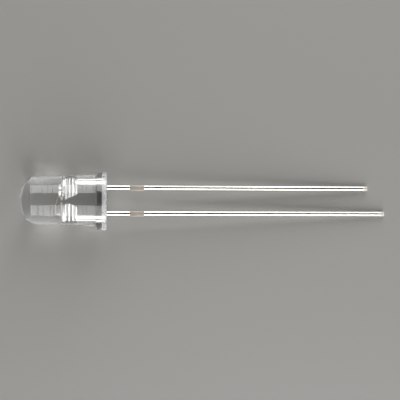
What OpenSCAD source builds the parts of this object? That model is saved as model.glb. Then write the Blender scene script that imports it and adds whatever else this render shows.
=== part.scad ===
// A clear 5 mm through-hole LED, lying on its side as it comes to rest.
// Every piece is first drawn upright: z = 0 is the seating face under the flange, the dome
// points up, the leads point down, and the cathode is on the +y side. lay_down() then turns
// the lamp on its side, with the dome towards -x and the lead tips towards +x.

/* [Lens] */
// Height of the lens from the seating face to the top of the dome
lens_h = 8.5; // [7.5:0.1:12]
// Barrel diameter just above the flange
barrel_base_d = 5.08; // [4.7:0.02:5.6]
// Barrel diameter where the dome starts, smaller so that the casting leaves its mould
barrel_top_d = 4.64; // [4.2:0.02:5.08]
// Height of the dome above the barrel
dome_h = 1.22; // [0.9:0.02:2]

/* [Flange] */
// Flange diameter
flange_d = 5.8; // [5.7:0.05:7]
// Flange thickness
flange_t = 1.0; // [0.6:0.05:1.6]
// Distance from the axis to the flat that marks the cathode side
flat_dist = 2.65; // [2.55:0.01:2.8]
// Diameter of the dish that the epoxy shrinks into on the seating face
dish_d = 4.6; // [3.6:0.1:5]
// Depth of that dish at the axis
dish_depth = 0.3; // [0.05:0.05:0.5]

/* [Leads] */
// Width and thickness of the square leads, which is the thickness of the stamped sheet
lead_w = 0.5; // [0.4:0.05:0.6]
// Radius of the leads' long edges, which the tin plating has flowed round
lead_edge = 0.19; // [0.02:0.01:0.19]
// Spacing between the lead centres
lead_pitch = 2.54; // [2:0.01:2.8]
// Length of the cathode lead below the seating face
cathode_len = 26.1; // [15:0.1:30]
// How much longer the anode lead is
anode_extra = 1.7; // [0.5:0.1:3]
// Distance from the seating face to the tie-bar stub
stub_drop = 2.25; // [1:0.05:6]
// Length of the tie-bar stub along the lead
stub_len = 1.4; // [0.8:0.1:2]
// How far the stub stands out on the anode side of each lead
stub_proud = 0.07; // [0.02:0.01:0.2]
// How far the stub is cut back on the cathode side of each lead
stub_step = 0.02; // [0.01:0.01:0.05]

/* [Lead heads] */
// Height of the lower edge of both heads above the seating face
head_z = 2.83; // [2:0.01:3]
// Height of the heads
head_h = 1.17; // [1:0.01:1.4]
// Distance from the axis to the inner edge of the anode head
anode_head_in = 0.24; // [0.16:0.01:0.3]
// Distance from the axis to the inner edge of the cathode head, at its top
cathode_head_in = 0.04; // [0.02:0.01:0.1]
// How far that edge leans away from the axis, from its top to its foot
cathode_lean = 0.36; // [0.1:0.02:0.5]
// Distance from the axis to the outer edge of both heads
head_out = 1.77; // [1.65:0.01:1.85]
// Height of the slant on the lower corners of the heads
slant_h = 0.6; // [0.3:0.05:0.8]
// Width of the slant on the anode head's inner lower corner
slant_in = 0.26; // [0.1:0.02:0.4]
// Number of keying grooves across each face of a head
groove_count = 3; // [1:1:3]
// Spacing of the grooves
groove_pitch = 0.36; // [0.3:0.01:0.4]
// Depth of the grooves
groove_depth = 0.05; // [0.02:0.01:0.08]
// Radius of the groove bottom
groove_r = 0.11; // [0.09:0.01:0.15]

/* [Coined tips] */
// Height of the waist between head and tip
waist_h = 0.2; // [0.1:0.01:0.3]
// How far the waist is set in from the tip, all round
waist_in = 0.12; // [0.05:0.01:0.16]
// Thickness of the coined tips
tip_t = 0.2; // [0.15:0.01:0.3]
// Width of the coined tips, across the sheet
tip_deep = 0.92; // [0.6:0.02:1]
// Distance from the axis to the inner edge of the cathode tip
cathode_tip_in = 0.02; // [0.01:0.01:0.06]
// Distance from the axis to the outer edge of the cathode tip
cathode_tip_out = 1.5; // [1.4:0.02:1.7]
// Distance from the axis to the inner edge of the anode tip
anode_tip_in = 0.16; // [0.1:0.01:0.3]
// Distance from the axis to the outer edge of the anode tip
anode_tip_out = 1.7; // [1.4:0.02:1.76]

/* [Reflector cup] */
// Distance from the axis to the centre of the cup
cup_y = 0.63; // [0.55:0.01:0.8]
// Outer diameter of the cup at its rim
cup_d = 0.88; // [0.8:0.01:1]
// Outer diameter of the cup at its foot
cup_foot_d = 0.7; // [0.64:0.01:0.78]
// How far the rim stands above the tip
cup_proud = 0.18; // [0.1:0.01:0.3]
// Thickness of the rim
cup_wall = 0.06; // [0.04:0.01:0.08]
// Depth of the cup
cup_depth = 0.32; // [0.28:0.01:0.36]
// Diameter of the cup's flat floor
cup_floor_d = 0.5; // [0.46:0.01:0.54]

/* [Die and wire] */
// Side of the square die
chip_w = 0.3; // [0.24:0.01:0.32]
// Thickness of the die
chip_t = 0.2; // [0.12:0.01:0.24]
// How far the adhesive pad shows beyond the die, all round
bond_edge = 0.01; // [0.005:0.005:0.015]
// Thickness of the adhesive pad
bond_t = 0.03; // [0.01:0.01:0.05]
// Diameter of the bond wire
wire_d = 0.04; // [0.025:0.005:0.05]
// Height of the wire loop above the coined tips
loop_h = 0.48; // [0.42:0.01:0.54]
// Distance from the axis to the wire's bond on the anode tip
wire_y = 0.92; // [0.7:0.01:1.2]
// Clearance between the wire and the outer edge of the cup's rim
wire_clear = 0.06; // [0.03:0.01:0.1]
// Radius of the bends in the wire
wire_bend = 0.15; // [0.1:0.01:0.2]
// Diameter of the bonded feet of the wire
foot_d = 0.1; // [0.06:0.01:0.14]
// Thickness of the bonded feet
foot_t = 0.02; // [0.01:0.005:0.04]

/* [Hidden] */
$fn = 64;
// What a cutting solid runs past the face that it opens
past = 0.5;

// Lens
barrel_top_z = lens_h - dome_h;
dome_r = ((barrel_top_d / 2) ^ 2 + dome_h ^ 2) / (2 * dome_h);
dome_z = lens_h - dome_r;
dish_r = ((dish_d / 2) ^ 2 + dish_depth ^ 2) / (2 * dish_depth);

// Leads and their heads
lead_y = lead_pitch / 2;
anode_len = cathode_len + anode_extra;
head_top = head_z + head_h;
tip_z = head_top + waist_h;
tip_top = tip_z + tip_t;
lead_out = lead_y + lead_w / 2;
lead_core = lead_w / 2 - lead_edge;
groove_lift = groove_r - groove_depth;
first_groove = head_z + (head_h - (groove_count - 1) * groove_pitch) / 2;

// Cup, die and wire
cup_rim_z = tip_top + cup_proud;
cup_floor_z = cup_rim_z - cup_depth;
chip_z = cup_floor_z + bond_t;
chip_top = chip_z + chip_t;
loop_z = tip_top + loop_h;
// The wire lands on the half of the die that faces the anode
wire_to_y = cup_y - chip_w / 4;
// It falls to the die just clear of the cup's rim
rim_y = cup_y - cup_d / 2;
over_rim_z = cup_rim_z + wire_clear + wire_d / 2;
wire_fall = atan((over_rim_z - chip_top) / (wire_to_y - rim_y));
// Where its sloping and its level stretch would cross, and how far a bend cuts that corner
cross_y = wire_to_y - (loop_z - chip_top) / tan(wire_fall);
corner_cut = wire_bend * tan(wire_fall / 2);
level_len = cross_y - corner_cut + wire_y - wire_bend;
fall_len = (loop_z - chip_top) / sin(wire_fall) - corner_cut;

// The lamp rests on the rim of its flange and on the tips of both leads. Less the radius of the
// leads' edges, the floor is the plane x = slope_z * z + slope_y * y - rest_r * sqrt(1 + slope_y ^ 2)
// of the upright lamp, with z counted downwards. It touches both tips where slope_y is
// slope_ratio * slope_z, and the flange's rim where slope_z solves a quadratic.
slope_ratio = anode_extra / lead_pitch;
rest_r = flange_d / 2 - lead_edge;
reach = cathode_len + slope_ratio * (lead_y + lead_core);
reach_sq = reach ^ 2 - (slope_ratio * rest_r) ^ 2;
slope_z = (sqrt((lead_core * reach) ^ 2 + reach_sq * (rest_r ^ 2 - lead_core ^ 2))
    - lead_core * reach) / reach_sq;
roll = atan(slope_ratio * slope_z);
tilt = atan(slope_z * cos(roll));
// The box round the lamp is centred on the origin and stands on z = 0
flat_half = sqrt((flange_d / 2) ^ 2 - flat_dist ^ 2);
tip_rise = (lead_y + lead_core) * sin(roll) + lead_core * cos(roll) + lead_edge;
far_x = anode_len * cos(tilt) + tip_rise * sin(tilt);
near_x = -dome_z * cos(tilt) - dome_r;
far_y = flat_dist * cos(roll) + flat_half * sin(roll);
lay_at = [-(far_x + near_x) / 2, -(far_y - flange_d / 2) / 2, flange_d / 2 * cos(tilt)];

// Turns the upright lamp on its side and sets it down on z = 0
module lay_down() {
    translate(lay_at) rotate([-roll, tilt, 0]) rotate([0, -90, 0]) children();
}

// A block that stands on z and is centred on x = 0, between two distances along y
module block(deep, y_from, y_to, z, h) {
    translate([-deep / 2, y_from, z]) cube([deep, y_to - y_from, h]);
}

// The outside of the casting
module lens_shell() {
    difference() {
        union() {
            intersection() {
                cylinder(d = flange_d, h = flange_t);
                block(flange_d, -flange_d, flat_dist, 0, flange_t);
            }
            cylinder(d1 = barrel_base_d, d2 = barrel_top_d, h = barrel_top_z);
            intersection() {
                translate([0, 0, dome_z]) sphere(r = dome_r);
                translate([0, 0, barrel_top_z]) cylinder(d = barrel_top_d, h = dome_h + past);
            }
        }
        translate([0, 0, dish_depth - dish_r]) sphere(r = dish_r);
    }
}

// Stretch of lead on the +y side, square with rounded edges
module bar(z, h) {
    translate([0, lead_y, z]) linear_extrude(h) {
        square([lead_w, 2 * lead_core], center = true);
        square([2 * lead_core, lead_w], center = true);
        for (x = [-lead_core, lead_core], y = [-lead_core, lead_core])
            translate([x, y]) circle(r = lead_edge);
    }
}

// Lead on the +y side, from its tip up into the head. Its tie-bar stub is sheared off
// out of line, so that it stands out on one side and is cut back on the other.
module shank(len, proud_side) {
    low_side = lead_y - lead_w / 2;
    shift_in = proud_side < 0 ? stub_proud : -stub_step;
    shift_out = proud_side < 0 ? -stub_step : stub_proud;
    stub_z = -stub_drop - stub_len;
    bar(-len, len + stub_z);
    block(lead_w, low_side - shift_in, lead_out + shift_out, stub_z, stub_len);
    bar(-stub_drop, stub_drop + head_z + slant_h);
}

// Head on the +y side. Its inner edge leans away from the axis below a given height, and
// its outer edge leans in below the slant's height.
module head_plate(inner, lean_in, lean_from, slant_out) {
    translate([-lead_w / 2, 0, 0]) rotate([90, 0, 90]) linear_extrude(lead_w) polygon([
        [inner, head_top], [inner, lean_from], [inner + lean_in, head_z],
        [head_out - slant_out, head_z], [head_out, head_z + slant_h * sign(slant_out)],
        [head_out, head_top]
    ]);
}

// Grooves across both faces of a head, which key it into the epoxy
module grooves() {
    for (i = [0 : groove_count - 1], face = [-1, 1])
        translate([face * (lead_w / 2 + groove_lift), 0, first_groove + i * groove_pitch])
            rotate([-90, 0, 0]) cylinder(r = groove_r, h = head_out + past);
}

// Waist and coined tip above a head, between two distances from the axis
module coined_tip(y_from, y_to) {
    block(lead_w - waist_in, y_from + waist_in, y_to - waist_in, head_top, waist_h);
    block(tip_deep, y_from, y_to, tip_z, tip_t);
}

module cup_outside() {
    translate([0, cup_y, head_top])
        cylinder(d1 = cup_foot_d, d2 = cup_d, h = cup_rim_z - head_top);
}

module cup_hollow() {
    translate([0, cup_y, cup_floor_z])
        cylinder(d1 = cup_floor_d, d2 = cup_d - 2 * cup_wall, h = cup_depth);
}

// Lead, head and tip of one stamping, on the +y side, round the head's plate
module stamping(len, proud_side, tip_from, tip_to) {
    difference() {
        union() {
            shank(len, proud_side);
            children();
        }
        grooves();
    }
    coined_tip(tip_from, tip_to);
}

module cathode_stamping() {
    difference() {
        union() {
            stamping(cathode_len, -1, cathode_tip_in, cathode_tip_out)
                head_plate(cathode_head_in, cathode_lean, head_top, head_out - lead_out);
            cup_outside();
        }
        cup_hollow();
    }
}

module anode_stamping() {
    mirror([0, 1, 0]) stamping(anode_len, 1, anode_tip_in, anode_tip_out)
        head_plate(anode_head_in, slant_in, head_z + slant_h, 0);
}

module chip_block() {
    block(chip_w, cup_y - chip_w / 2, cup_y + chip_w / 2, chip_z, chip_t);
}

module bond_pad() {
    pad_w = chip_w + 2 * bond_edge;
    block(pad_w, cup_y - pad_w / 2, cup_y + pad_w / 2, cup_floor_z, bond_t);
}

// Straight stretch of wire along +z, with what follows at its end
module wire_run(len) {
    cylinder(d = wire_d, h = len);
    translate([0, 0, len]) children();
}

// Bend of the wire from +z towards +y, with what follows at its end
module wire_turn(angle) {
    translate([0, wire_bend, 0]) {
        rotate([90, 0, -90]) rotate_extrude(angle = angle)
            translate([wire_bend, 0]) circle(d = wire_d);
        rotate([-angle, 0, 0]) translate([0, -wire_bend, 0]) children();
    }
}

module wire_foot() {
    cylinder(d = foot_d, h = foot_t);
}

// Up from the anode tip, across, and down to the die, where the face of the die cuts it off
module wire_loop() {
    difference() {
        translate([0, -wire_y, tip_top])
            wire_run(loop_h - wire_bend) wire_turn(90)
            wire_run(level_len) wire_turn(wire_fall) wire_run(fall_len + past);
        block(past, wire_to_y - past, wire_to_y + past, chip_top - past, past);
    }
    translate([0, -wire_y, tip_top]) wire_foot();
    translate([0, wire_to_y, chip_top]) wire_foot();
}

// Clear epoxy, cast round everything inside it
module lens_body() {
    color("#cfd6d8", 0.3) lay_down() difference() {
        lens_shell();
        cathode_stamping();
        anode_stamping();
        chip_block();
        bond_pad();
        wire_loop();
    }
}

// Tinned steel, stamped
module cathode_lead() {
    color("#c9c8c4") lay_down() cathode_stamping();
}

// Tinned steel, stamped
module anode_lead() {
    color("#c9c8c4") lay_down() anode_stamping();
}

// Semiconductor die
module led_chip() {
    color("#4a463f") lay_down() chip_block();
}

// Silver-filled adhesive
module die_bond() {
    color("#9a9a98") lay_down() bond_pad();
}

// Gold wire
module bond_wire() {
    color("#d8b25a") lay_down() wire_loop();
}

lens_body();
cathode_lead();
anode_lead();
led_chip();
die_bond();
bond_wire();
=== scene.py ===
from math import atan2, cos, pi, radians, sin, tan

import bmesh
import bpy
from mathutils import Matrix, Vector


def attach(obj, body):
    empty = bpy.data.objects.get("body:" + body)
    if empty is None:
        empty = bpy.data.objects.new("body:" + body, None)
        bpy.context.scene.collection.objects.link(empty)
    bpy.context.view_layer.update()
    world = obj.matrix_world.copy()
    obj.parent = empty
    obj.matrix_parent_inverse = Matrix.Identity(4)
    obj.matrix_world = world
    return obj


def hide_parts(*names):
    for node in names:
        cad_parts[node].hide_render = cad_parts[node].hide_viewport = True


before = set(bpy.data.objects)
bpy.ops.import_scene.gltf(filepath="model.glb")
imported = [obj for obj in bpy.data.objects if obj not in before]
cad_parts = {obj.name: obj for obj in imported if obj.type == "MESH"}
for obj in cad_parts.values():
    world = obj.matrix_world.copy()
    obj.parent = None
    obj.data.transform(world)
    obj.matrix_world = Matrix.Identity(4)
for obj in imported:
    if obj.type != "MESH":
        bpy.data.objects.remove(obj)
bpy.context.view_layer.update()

scene = bpy.context.scene


# Table, softboxes and camera
# The lamp lies on a large sheet of smooth pale card, under two long softboxes with a dark gap between
# them overhead. A smaller third one beyond the lead tips draws the ribs of the heads and the dome.
CARD = ("898885", "8b8a87")
CARD_ACROSS = 2.4
SOFTBOX_AWAY = 1.5
# Glow of each softbox, its way round from the +y side, where it starts and ends from overhead,
# how far it leans along its own length, and half of that length, in degrees
SOFTBOXES = {"far_softbox": (4.4, 0, 34, 76, 7, 20), "near_softbox": (4.4, 180, 22, 78, -7, 20),
             "end_softbox": (3.0, -102, 50, 70, 0, 18)}
WALL_GLOW = 0.6
CEILING_GLOW = 0.01
# How far up the walls darken, where 1 is straight overhead
WALL_HIGH = 0.75
CAMERA_AT = (-0.000467, 0.000172, 0.092)
CAMERA_TURN = radians(0.196)
CAMERA_NEAR = 0.005
# Focal length and width of the picture, in pixels, and the width of the camera's sensor
CAMERA_FOCAL = 909
PICTURE_WIDE = 400
SENSOR_WIDE = 36


def linear(colour):
    """An sRGB hex colour as the linear red, green, blue and alpha that a node takes."""
    parts = [int(colour[i:i + 2], 16) / 255 for i in (0, 2, 4)]
    return tuple(c / 12.92 if c <= 0.04045 else ((c + 0.055) / 1.055) ** 2.4 for c in parts) + (1,)


def new_material(name):
    """An empty material, its tree and its Principled shader, joined to the output."""
    material = bpy.data.materials.new(name)
    material.use_nodes = True
    tree = material.node_tree
    return material, tree, tree.nodes["Principled BSDF"]


def add(tree, kind, inputs, **settings):
    """Adds a node, sets its properties, and sets or links its input sockets."""
    node = tree.nodes.new(kind)
    for key, value in settings.items():
        setattr(node, key, value)
    feed(tree, node, inputs)
    return node


def feed(tree, node, inputs):
    """Links a node's input sockets to other sockets, or sets them to plain values."""
    for name, value in inputs.items():
        if isinstance(value, bpy.types.NodeSocket):
            tree.links.new(value, node.inputs[name])
        else:
            node.inputs[name].default_value = value


def noise(tree, place, scale, detail, roughness=0.5):
    """Cloudy grain between 0 and 1, with so many grains to a unit of length."""
    inputs = {"Vector": place, "Scale": scale, "Detail": detail, "Roughness": roughness}
    return add(tree, "ShaderNodeTexNoise", inputs).outputs["Fac"]


def tinted(tree, factor, first, second):
    """A colour between two sRGB hex colours."""
    inputs = {"Factor": factor, "A": linear(first), "B": linear(second)}
    return add(tree, "ShaderNodeMix", inputs, data_type="RGBA").outputs["Result"]


def spread(tree, value, low, high, start=0.0, end=1.0, **settings):
    """A value that runs from low to high while another runs from start to end."""
    inputs = {"Value": value, "From Min": start, "From Max": end, "To Min": low, "To Max": high}
    return add(tree, "ShaderNodeMapRange", inputs, **settings).outputs["Result"]


def new_piece(name, bm, materials):
    """Makes an object at the origin from a finished bmesh, with its materials in order."""
    mesh = bpy.data.meshes.new(name)
    bm.to_mesh(mesh)
    bm.free()
    piece = bpy.data.objects.new(name, mesh)
    scene.collection.objects.link(piece)
    for material in materials:
        mesh.materials.append(material)
    return piece


# Calendered card: pressed fibre, rolled smooth, so it shines a little where it is seen at a low
# angle, with a faint cloudiness in the pulp.
card, tree, shader = new_material("calendered_card")
pulp = noise(tree, add(tree, "ShaderNodeTexCoord", {}).outputs["Object"], 30.0, 3.0)
feed(tree, shader, {"Base Color": tinted(tree, pulp, *CARD), "Roughness": 0.48, "Specular IOR Level": 1.0})
bm = bmesh.new()
bmesh.ops.create_grid(bm, x_segments=4, y_segments=4, size=CARD_ACROSS / 2)
new_piece("card_sheet", bm, [card])

for name, (glow, *angles) in SOFTBOXES.items():
    way, low, high, lean, half_long = (radians(angle) for angle in angles)
    middle = (low + high) / 2
    lamp = bpy.data.lights.new(name, "AREA")
    lamp.shape = "RECTANGLE"
    lamp.size = 2 * SOFTBOX_AWAY * tan(half_long)
    lamp.size_y = 2 * SOFTBOX_AWAY * tan((high - low) / 2)
    lamp.energy = glow * lamp.size * lamp.size_y * pi
    light = bpy.data.objects.new(name, lamp)
    toward = Vector((sin(lean), sin(middle) * cos(lean), cos(middle) * cos(lean)))
    across = Vector((1, 0, 0)) - toward * toward.x
    across.normalize()
    turned = Matrix.Rotation(way, 3, "Z") @ Matrix((across, toward.cross(across), toward)).transposed()
    light.matrix_world = turned.to_4x4() @ Matrix.Translation((0, 0, SOFTBOX_AWAY))
    light.visible_camera = False
    scene.collection.objects.link(light)

# Pale studio walls, which darken upwards to a black ceiling
world = bpy.data.worlds.new("studio")
world.use_nodes = True
tree = world.node_tree
facing = add(tree, "ShaderNodeTexCoord", {}).outputs["Generated"]
height = add(tree, "ShaderNodeSeparateXYZ", {"Vector": facing}).outputs["Z"]
walls = spread(tree, height, WALL_GLOW, CEILING_GLOW, end=WALL_HIGH, interpolation_type="SMOOTHSTEP")
feed(tree, tree.nodes["Background"], {"Color": walls})
scene.world = world

lens_data = bpy.data.cameras.new("camera")
lens_data.sensor_width = SENSOR_WIDE
lens_data.lens = SENSOR_WIDE * CAMERA_FOCAL / PICTURE_WIDE
lens_data.clip_start = CAMERA_NEAR
camera = bpy.data.objects.new("camera", lens_data)
camera.location = CAMERA_AT
camera.rotation_euler = (0, 0, CAMERA_TURN)
scene.collection.objects.link(camera)
scene.camera = camera
scene.view_settings.view_transform = "Standard"
# The lens gathers the softboxes' light on the card, and that glow is seen through it again
scene.cycles.blur_glossy = 0


# Leads
# Each is one stamping of thin steel sheet, silver plated inside the epoxy and dipped in tin outside.
# The tie bar between them was sheared off, and the short lead's head has the reflector cup coined in.

# Sizes are in millimetres, for a lamp that stands upright with its seating face at z = 0
LEAD_WIDE = 0.5
LEAD_EDGE = 0.19
LEAD_OFF = 1.27
LEAD_LONG = {"cathode": 26.1, "anode": 27.8}
LEAD_INTO_HEAD = 0.2
STUB = (-3.65, -2.25)
STUB_PROUD = 0.07
STUB_STEP = 0.02
STUB_ROUND = 0.04
END_ROUND = 0.03
# Length of the smeared tin at the cut end, and height to which the silver is dipped over
CUT_ZONE = 0.45
DIPPED_TO = 0.15
HEAD = (2.83, 4.0)
HEAD_IN = {"cathode": 0.04, "anode": 0.24}
HEAD_OUT = 1.77
HEAD_ROUND = 0.02
# Width and height of the slant on each head's inner edge, and on the cathode head's outer one
LEAN_IN = {"cathode": (0.36, 1.17), "anode": (0.26, 0.6)}
LEAN_OUT = (0.25, 0.6)
GROOVES = (3.055, 3.415, 3.775)
GROOVE_HALF = 0.092
GROOVE_DEEP = 0.05
GROOVE_ROUND = 0.03
WAIST_IN = 0.12
WAIST_SUNK = 0.03
TIP = (4.2, 4.4)
TIP_DEEP = 0.92
TIP_ROUND = 0.09
TIP_SPAN = {"cathode": (0.02, 1.5), "anode": (0.16, 1.7)}
CUP_OFF = 0.63
CUP_PROFILE = ((0, 4.0), (0.35, 4.0), (0.44, 4.58), (0.38, 4.58), (0.25, 4.26), (0, 4.26))
CUP_ROUND = 0.015
CUP_TURNS = 48
# Points nearer than this are one point
SAME = 1e-5
# How the lamp lies: its tilt, its roll, and where the middle of its seating face comes to
LAY_TILT = radians(5.607825)
LAY_ROLL = radians(3.768015)
LAY_AT = Vector((-9.613556, 0.08916, 2.886121))

laid = (Matrix.Rotation(LAY_TILT, 3, "Y") @ Matrix.Rotation(-LAY_ROLL, 3, "X")
        @ Matrix.Rotation(-pi / 2, 3, "Y"))
lay_down = Matrix.Scale(0.001, 4) @ Matrix.Translation(LAY_AT) @ laid.to_4x4()


def block(bm, x, y, z):
    """A box between two values along each axis. Returns its vertices."""
    verts = bmesh.ops.create_cube(bm, size=1)["verts"]
    spans = [b - a for a, b in (x, y, z)]
    bmesh.ops.scale(bm, vec=spans, verts=verts)
    bmesh.ops.translate(bm, vec=[(a + b) / 2 for a, b in (x, y, z)], verts=verts)
    return verts


def edges_of(verts):
    return list({e for v in verts for e in v.link_edges})


def upright_edges(verts):
    """The edges of a block that run along z."""
    return [e for e in edges_of(verts) if abs(e.verts[0].co.z - e.verts[1].co.z) > SAME]


def rounded(bm, geom, radius, segments, affect="EDGES"):
    """Rounds edges, as far as their neighbours leave room, or the corners of a profile."""
    bmesh.ops.bevel(bm, geom=geom, offset=radius, offset_type="OFFSET", segments=segments,
                    affect=affect, profile=0.5, material=-1, clamp_overlap=affect == "EDGES")


def split_at(bm, z):
    """Cuts all faces along a level line and takes nothing away."""
    bmesh.ops.bisect_plane(bm, geom=bm.verts[:] + bm.edges[:] + bm.faces[:], dist=SAME / 10,
                           plane_co=(0, 0, z), plane_no=(0, 0, 1))


def cut_away(bm, point, normal):
    """Cuts off what lies beyond a plane and closes the cut."""
    cut = bmesh.ops.bisect_plane(bm, geom=bm.verts[:] + bm.edges[:] + bm.faces[:], dist=SAME / 10,
                                 plane_co=point, plane_no=normal, clear_outer=True)
    rim = [g for g in cut["geom_cut"] if isinstance(g, bmesh.types.BMEdge)]
    bmesh.ops.holes_fill(bm, edges=rim, sides=0)


def spun(bm, steps):
    """Turns a profile that starts and ends on the z axis into a closed solid."""
    bmesh.ops.spin(bm, geom=bm.verts[:] + bm.edges[:], cent=(0, 0, 0), axis=(0, 0, 1), dvec=(0, 0, 0),
                   angle=2 * pi, steps=steps, use_merge=True)
    bmesh.ops.remove_doubles(bm, verts=bm.verts[:], dist=SAME)
    bmesh.ops.recalc_face_normals(bm, faces=bm.faces[:])


def joined(bm, other):
    """Adds another bmesh to this one and frees it."""
    mesh = bpy.data.meshes.new("joined")
    other.to_mesh(mesh)
    other.free()
    bm.from_mesh(mesh)
    bpy.data.meshes.remove(mesh)


def finished(bm, angle=radians(35)):
    """Smooths an upright piece, except at edges sharper than an angle, and lays it down."""
    for face in bm.faces:
        face.smooth = True
    for edge in bm.edges:
        edge.smooth = len(edge.link_faces) == 2 and edge.calc_face_angle(0) < angle
    bmesh.ops.transform(bm, matrix=lay_down, verts=bm.verts[:])


def stamped_head(kind):
    """The ribbed plate above the lead, as its own mesh, on the +y side."""
    half = LEAD_WIDE / 2
    bm = bmesh.new()
    block(bm, (-half, half), (HEAD_IN[kind], HEAD_OUT), HEAD)
    lean, high = LEAN_IN[kind]
    cut_away(bm, (0, HEAD_IN[kind], HEAD[0] + high), (0, -high, -lean))
    if kind == "cathode":
        lean, high = LEAN_OUT
        cut_away(bm, (0, HEAD_OUT, HEAD[0] + high), (0, high, -lean))
    rounded(bm, [e for e in bm.edges if e.calc_face_angle(0) > radians(20)], HEAD_ROUND, 2)
    for z in GROOVES:
        for shift in (-GROOVE_HALF, 0, GROOVE_HALF):
            split_at(bm, z + shift)
        ring = [v for v in bm.verts if abs(v.co.z - z) < SAME and abs(v.co.x) > half - HEAD_ROUND - SAME]
        bmesh.ops.scale(bm, vec=(1 - GROOVE_DEEP / half, 1, 1), verts=ring)
        deep = [e for e in bm.edges if e.verts[0] in ring and e.verts[1] in ring
                and e.verts[0].co.x * e.verts[1].co.x > 0]
        rounded(bm, deep, GROOVE_ROUND, 3)
    return bm


def coined_cup():
    """The cone-shaped cup round the die, turned about its own axis."""
    bm = bmesh.new()
    chain = [bm.verts.new((r, 0, z)) for r, z in CUP_PROFILE]
    for pair in zip(chain, chain[1:]):
        bm.edges.new(pair)
    rounded(bm, chain[1:-1], CUP_ROUND, 2, affect="VERTICES")
    spun(bm, CUP_TURNS)
    bmesh.ops.translate(bm, vec=(0, CUP_OFF, 0), verts=bm.verts[:])
    return bm


def sheared_stub(kind):
    """What is left of the tie bar: it stands out towards the anode side and is cut back on the other."""
    half = LEAD_WIDE / 2
    out_low, out_high = (STUB_PROUD, -STUB_STEP) if kind == "cathode" else (-STUB_STEP, STUB_PROUD)
    bm = bmesh.new()
    block(bm, (-half, half), (LEAD_OFF - half - out_low, LEAD_OFF + half + out_high), STUB)
    rounded(bm, bm.edges[:], STUB_ROUND, 2)
    for face in bm.faces:
        face.material_index = 1
    return bm


def coined_head(kind):
    """Head, waist and coined tip, and the cup on the cathode's."""
    half = LEAD_WIDE / 2
    tip_in, tip_out = TIP_SPAN[kind]
    bm = stamped_head(kind)
    block(bm, (WAIST_IN / 2 - half, half - WAIST_IN / 2), (tip_in + WAIST_IN, tip_out - WAIST_IN),
          (HEAD[1] - WAIST_SUNK, TIP[0] + WAIST_SUNK))
    verts = block(bm, (-TIP_DEEP / 2, TIP_DEEP / 2), (tip_in, tip_out), TIP)
    rounded(bm, edges_of(verts), TIP_ROUND, 3)
    if kind == "cathode":
        joined(bm, coined_cup())
    for face in bm.faces:
        face.material_index = 2
    return bm


def stamping(kind):
    """One whole lead, upright, on the +y side, in millimetres."""
    half, long = LEAD_WIDE / 2, LEAD_LONG[kind]
    bm = bmesh.new()
    for z in ((-long, STUB[0]), (STUB[1], HEAD[0] + LEAD_INTO_HEAD)):
        verts = block(bm, (-half, half), (LEAD_OFF - half, LEAD_OFF + half), z)
        rounded(bm, upright_edges(verts), LEAD_EDGE, 3)
    split_at(bm, CUT_ZONE - long)
    # The shear drags the plating over the edges of the cut end
    rounded(bm, [e for e in bm.edges if all(v.co.z < SAME - long for v in e.verts)], END_ROUND, 2)
    split_at(bm, DIPPED_TO)
    for face in bm.faces:
        middle = face.calc_center_median().z
        face.material_index = 2 if middle > DIPPED_TO else 3 if middle < CUT_ZONE - long else 0
    joined(bm, sheared_stub(kind))
    joined(bm, coined_head(kind))
    return bm


def upright(tree):
    """Object coordinates turned back to the upright lamp, in millimetres."""
    back = laid.transposed()
    inputs = {"Vector": add(tree, "ShaderNodeTexCoord", {}).outputs["Object"], "Location": -(back @ LAY_AT),
              "Rotation": back.to_euler(), "Scale": (1000, 1000, 1000)}
    return add(tree, "ShaderNodeMapping", inputs).outputs["Vector"]


def drawn_out(tree, place, scale):
    """Coordinates stretched along the axes where the scale is small."""
    return add(tree, "ShaderNodeMapping", {"Vector": place, "Scale": scale}).outputs["Vector"]


def relief(tree, height, strength, distance):
    """Bumps from a height, with their depth in metres."""
    inputs = {"Height": height, "Strength": strength, "Distance": distance}
    return add(tree, "ShaderNodeBump", inputs).outputs["Normal"]


# Bright dipped tin over stamped steel: a pale warm metal, drawn out in fine streaks along the
# lead by the rolls that the strip ran through, and a little cloudy where the tin flowed.
bright_tin, tree, shader = new_material("bright_dipped_tin")
place = upright(tree)
flow = noise(tree, place, 1.6, 3.0)
streak = noise(tree, drawn_out(tree, place, (14.0, 14.0, 0.9)), 1.0, 2.0)
feed(tree, shader, {"Base Color": tinted(tree, flow, "cfcac1", "e6e3dd"), "Metallic": 1.0,
                    "Roughness": spread(tree, flow, 0.13, 0.26, 0.3, 0.7),
                    "Normal": relief(tree, streak, 0.25, 0.00001)})

# Sheared steel with smeared tin: torn grey-brown metal, rough and dull beside the bright plating.
sheared, tree, shader = new_material("sheared_tinned_steel")
torn = noise(tree, upright(tree), 9.0, 4.0, roughness=0.65)
feed(tree, shader, {"Base Color": tinted(tree, torn, "8d8078", "d9d2c8"), "Metallic": 1.0,
                    "Roughness": spread(tree, torn, 0.62, 0.4),
                    "Normal": relief(tree, torn, 0.6, 0.00003)})

# Tin that the shear smeared over the cut ends: the same pale metal, but matt with a grain of its
# own, so that the ends show no dark line.
smeared_tin, tree, shader = new_material("matt_dipped_tin")
grain = noise(tree, upright(tree), 12.0, 3.0)
feed(tree, shader, {"Base Color": tinted(tree, grain, "c9c4ba", "e2ded6"), "Metallic": 1.0,
                    "Roughness": spread(tree, grain, 0.4, 0.6),
                    "Normal": relief(tree, grain, 0.4, 0.00001)})

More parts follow.
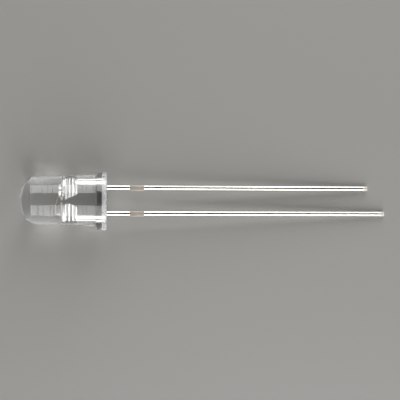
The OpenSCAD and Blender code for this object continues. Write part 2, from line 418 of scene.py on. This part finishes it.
# Matt silver plate, spot plated on the heads so that the wire bonds and the cup reflects: a
# white metal with a satin grain about 0.03 mm across, which the epoxy round it keeps bright.
silver, tree, shader = new_material("matt_silver_plate")
satin = noise(tree, upright(tree), 30.0, 3.0)
feed(tree, shader, {"Base Color": tinted(tree, satin, "d9d8d4", "f3f2ee"), "Metallic": 1.0,
                    "Roughness": spread(tree, satin, 0.26, 0.38),
                    "Normal": relief(tree, satin, 0.3, 0.000005)})

for kind in ("cathode", "anode"):
    bm = stamping(kind)
    if kind == "anode":
        bmesh.ops.scale(bm, vec=(1, -1, 1), verts=bm.verts[:])
        bmesh.ops.reverse_faces(bm, faces=bm.faces[:])
    finished(bm)
    piece = new_piece(f"{kind}_tinned", bm, [bright_tin, sheared, silver, smeared_tin])
    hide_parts(f"{kind}_lead")
    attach(piece, "root")


# Die, adhesive and bond wire
# The die is a sawn block of semiconductor with a small gold pad, glued into the cup with
# silver-filled adhesive. A drawn gold wire is bonded from the other lead's tip to that pad.
DIE_HALF = 0.15
DIE = (4.29, 4.49)
DIE_ROUND = 0.008
PAD_AT = 0.555
PAD_HALF = 0.065
PAD_SUNK = 0.01
PAD_PROUD = 0.004
PAD_ROUND = 0.03

# Polished semiconductor: dark and glossy on top, with a faint sawn grain down its sides.
die_material, tree, shader = new_material("sawn_semiconductor")
sawn = noise(tree, upright(tree), 60.0, 2.0)
feed(tree, shader, {"Base Color": tinted(tree, sawn, "4c4842", "5d574e"),
                    "Roughness": spread(tree, sawn, 0.15, 0.4)})

# Gold, drawn as wire and evaporated as the pad: bright warm metal with a faint grain.
gold, tree, shader = new_material("drawn_gold")
drawn = noise(tree, upright(tree), 40.0, 2.0)
feed(tree, shader, {"Base Color": tinted(tree, drawn, "f7e0a8", "fff1cf"), "Metallic": 1.0,
                    "Roughness": spread(tree, drawn, 0.25, 0.4)})

# Silver-filled adhesive: matt grey paste with bright flakes about 10 micrometres across.
paste, tree, shader = new_material("silver_filled_adhesive")
cells = add(tree, "ShaderNodeTexVoronoi", {"Vector": upright(tree), "Scale": 60.0})
flakes = cells.outputs["Distance"]
feed(tree, shader, {"Base Color": tinted(tree, flakes, "b9b9b5", "83837f"), "Metallic": 0.6,
                    "Roughness": spread(tree, flakes, 0.35, 0.7),
                    "Normal": relief(tree, flakes, 0.5, 0.000005)})

bm = bmesh.new()
verts = block(bm, (-DIE_HALF, DIE_HALF), (CUP_OFF - DIE_HALF, CUP_OFF + DIE_HALF), DIE)
rounded(bm, edges_of(verts), DIE_ROUND, 1)
pad = bmesh.new()
verts = block(pad, (-PAD_HALF, PAD_HALF), (PAD_AT - PAD_HALF, PAD_AT + PAD_HALF),
              (DIE[1] - PAD_SUNK, DIE[1] + PAD_PROUD))
rounded(pad, upright_edges(verts), PAD_ROUND, 3)
for face in pad.faces:
    face.material_index = 1
joined(bm, pad)
finished(bm)
die = new_piece("sawn_die", bm, [die_material, gold])
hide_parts("led_chip")
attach(die, "root")

for name, material in (("die_bond", paste), ("bond_wire", gold)):
    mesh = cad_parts[name].data
    mesh.materials.clear()
    mesh.materials.append(material)


# Lens
# It is clear epoxy, cast round the leads' heads in a turned cup mould, which its barrel tapers to leave.
# The open side sets into a shallow dish with a frosted skin, and the flat marks the short lead's side.
LENS_HIGH = 8.5
DOME_HIGH = 1.22
DOME_STEPS = 28
DOME_ROUND = 0.1
BARREL = (2.54, 2.32)
BARREL_STEPS = 30
BARREL_ROUND = 0.03
FLANGE_R = 2.9
FLANGE_T = 1.0
FLANGE_ROUND = 0.05
FLAT_OFF = 2.65
DISH_R = 2.3
DISH_DEEP = 0.3
DISH_STEPS = 16
DISH_ROUND = 0.08
SKIN_TO = 0.45
LENS_TURNS = 160

barrel_top = LENS_HIGH - DOME_HIGH
dome_r = (BARREL[1] ** 2 + DOME_HIGH ** 2) / (2 * DOME_HIGH)
dish_r = (DISH_R ** 2 + DISH_DEEP ** 2) / (2 * DISH_DEEP)


def profile_arc(bm, start, centre_z, angle, steps):
    """Turns a point of the profile about a centre on the axis. Returns the arc's last vertex."""
    made = bmesh.ops.spin(bm, geom=[start], cent=(0, 0, centre_z), axis=(0, 1, 0), dvec=(0, 0, 0),
                          angle=angle, steps=steps, use_merge=False)["geom_last"]
    return [g for g in made if isinstance(g, bmesh.types.BMVert)][0]


def profile_line(bm, start, r, z, steps=1):
    """A straight stretch of the profile, in equal steps. Returns its last vertex."""
    end = Vector((r, 0, z))
    for left in range(steps, 0, -1):
        after = bm.verts.new(start.co.lerp(end, 1 / left))
        bm.edges.new((start, after))
        start = after
    return start


bm = bmesh.new()
crown = bm.verts.new((0, 0, LENS_HIGH))
dome_end = profile_arc(bm, crown, LENS_HIGH - dome_r, atan2(BARREL[1], dome_r - DOME_HIGH), DOME_STEPS)
barrel_foot_r = BARREL[0] + (BARREL[1] - BARREL[0]) * FLANGE_T / barrel_top
barrel_end = profile_line(bm, dome_end, barrel_foot_r, FLANGE_T, steps=BARREL_STEPS)
shoulder = profile_line(bm, barrel_end, FLANGE_R, FLANGE_T)
rim = profile_line(bm, shoulder, FLANGE_R, 0)
lip = profile_line(bm, rim, DISH_R, 0)
profile_arc(bm, lip, DISH_DEEP - dish_r, -atan2(DISH_R, dish_r - DISH_DEEP), DISH_STEPS)
for corner, radius in ((dome_end, DOME_ROUND), (barrel_end, BARREL_ROUND), (shoulder, FLANGE_ROUND),
                       (rim, FLANGE_ROUND), (lip, DISH_ROUND)):
    rounded(bm, [corner], radius, 4, affect="VERTICES")
spun(bm, LENS_TURNS)
cut_away(bm, (0, FLAT_OFF, 0), (0, 1, 0))
split_at(bm, SKIN_TO)
for face in bm.faces:
    face.material_index = int(face.calc_center_median().z < SKIN_TO)
finished(bm, radians(50))

# Cast clear epoxy: almost colourless, glossy as the mould's polish, with fine dull streaks round
# the barrel where the mould was turned. They are drawn about 0.2 mm apart, coarser than the real
# ones, so that they show.
epoxy, tree, shader = new_material("cast_clear_epoxy")
turning = noise(tree, drawn_out(tree, upright(tree), (0.3, 0.3, 9.0)), 1.0, 3.0)
feed(tree, shader, {"Base Color": linear("fbfcfc"), "Transmission Weight": 1.0, "IOR": 1.53,
                    "Roughness": spread(tree, turning, 0.0, 0.27, 0.5, 0.64),
                    "Normal": relief(tree, turning, 0.5, 0.000005)})

# Epoxy that set in the open side of the mould: the same resin, but its skin is hazy, frosted and
# slightly rippled, so the back of the flange catches the light.
skin, tree, shader = new_material("air_set_epoxy")
ripple = noise(tree, upright(tree), 2.5, 3.0)
feed(tree, shader, {"Base Color": linear("fbfcfc"), "Transmission Weight": 0.7, "IOR": 1.53,
                    "Roughness": spread(tree, ripple, 0.2, 0.4, 0.3, 0.7),
                    "Normal": relief(tree, ripple, 0.6, 0.00003)})

lens = new_piece("cast_lens", bm, [epoxy, skin])
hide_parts("lens_body")
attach(lens, "root")
